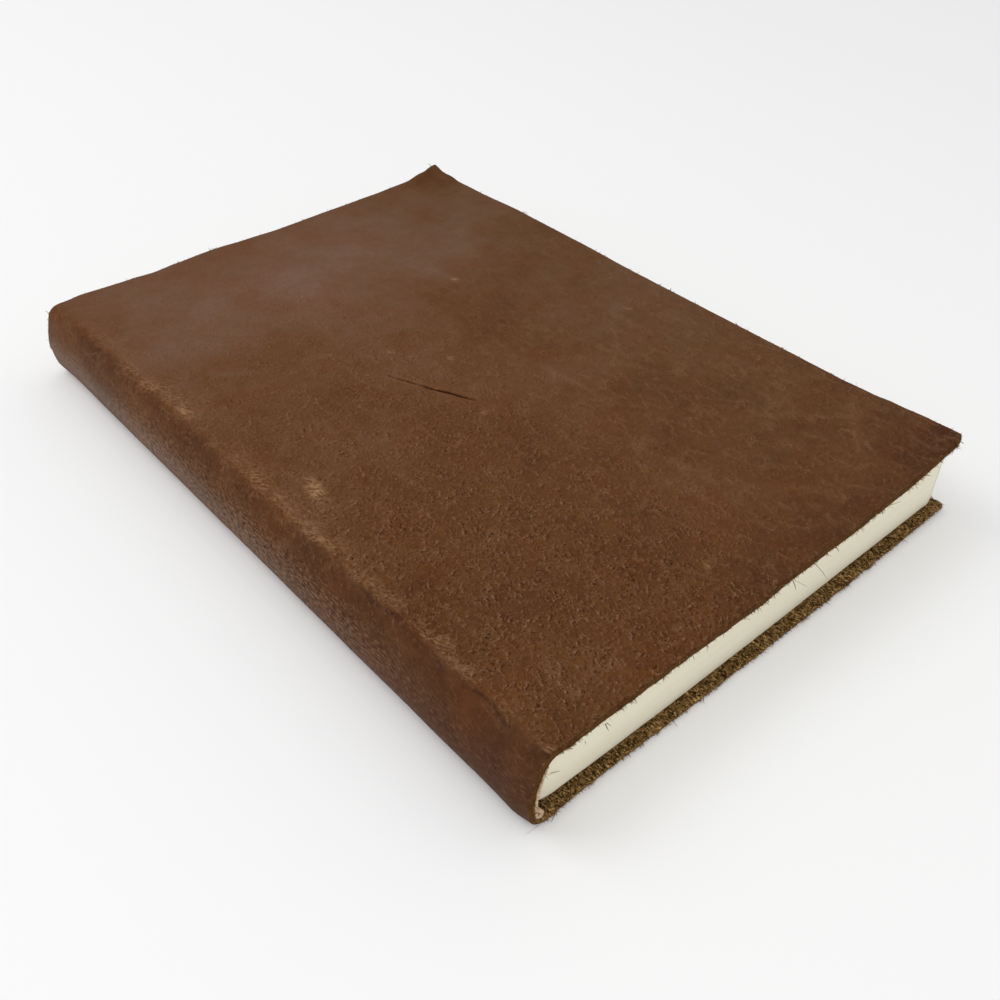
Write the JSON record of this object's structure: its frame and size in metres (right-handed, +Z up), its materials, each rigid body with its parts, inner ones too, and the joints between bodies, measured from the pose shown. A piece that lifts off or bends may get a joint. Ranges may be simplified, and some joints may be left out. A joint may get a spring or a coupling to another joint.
{
  "type": "leather notebook",
  "caption": "Closed soft-cover notebook: a thin raw-cut leather wrap round a square-trimmed page block, with both covers hinged at the spine folds.",
  "frame": {"origin": "middle of the back cover's flat underside, on the surface that the notebook lies on", "axes": "+X from the spine to the fore-edge, +Y from the tail to the head along the spine, +Z up through the covers"},
  "size_m": [0.1533, 0.2162, 0.0254],
  "materials": {
    "leather": "matt, fine pebbled grain, raw-cut edges",
    "paper": "uncoated cream, trimmed edges",
    "lining": "matt tan strip"
  },
  "bodies": {
    "pages": {"page_block": "paper", "spine_leather": "leather", "spine_lining": "lining"},
    "front": {"front_cover": "leather"},
    "back": {"back_cover": "leather"}
  },
  "joints": [
    {"name": "front_hinge", "type": "hinge", "parent": "pages", "child": "front", "pos_m": [-0.07199, 0, 0.02135], "axis": [0, -1, 0], "range_deg": [0, 180]},
    {"name": "back_hinge", "type": "hinge", "parent": "pages", "child": "back", "pos_m": [-0.07401, 0, 0.00099], "axis": [0, 1, 0], "range_deg": [0, 180]}
  ]
}
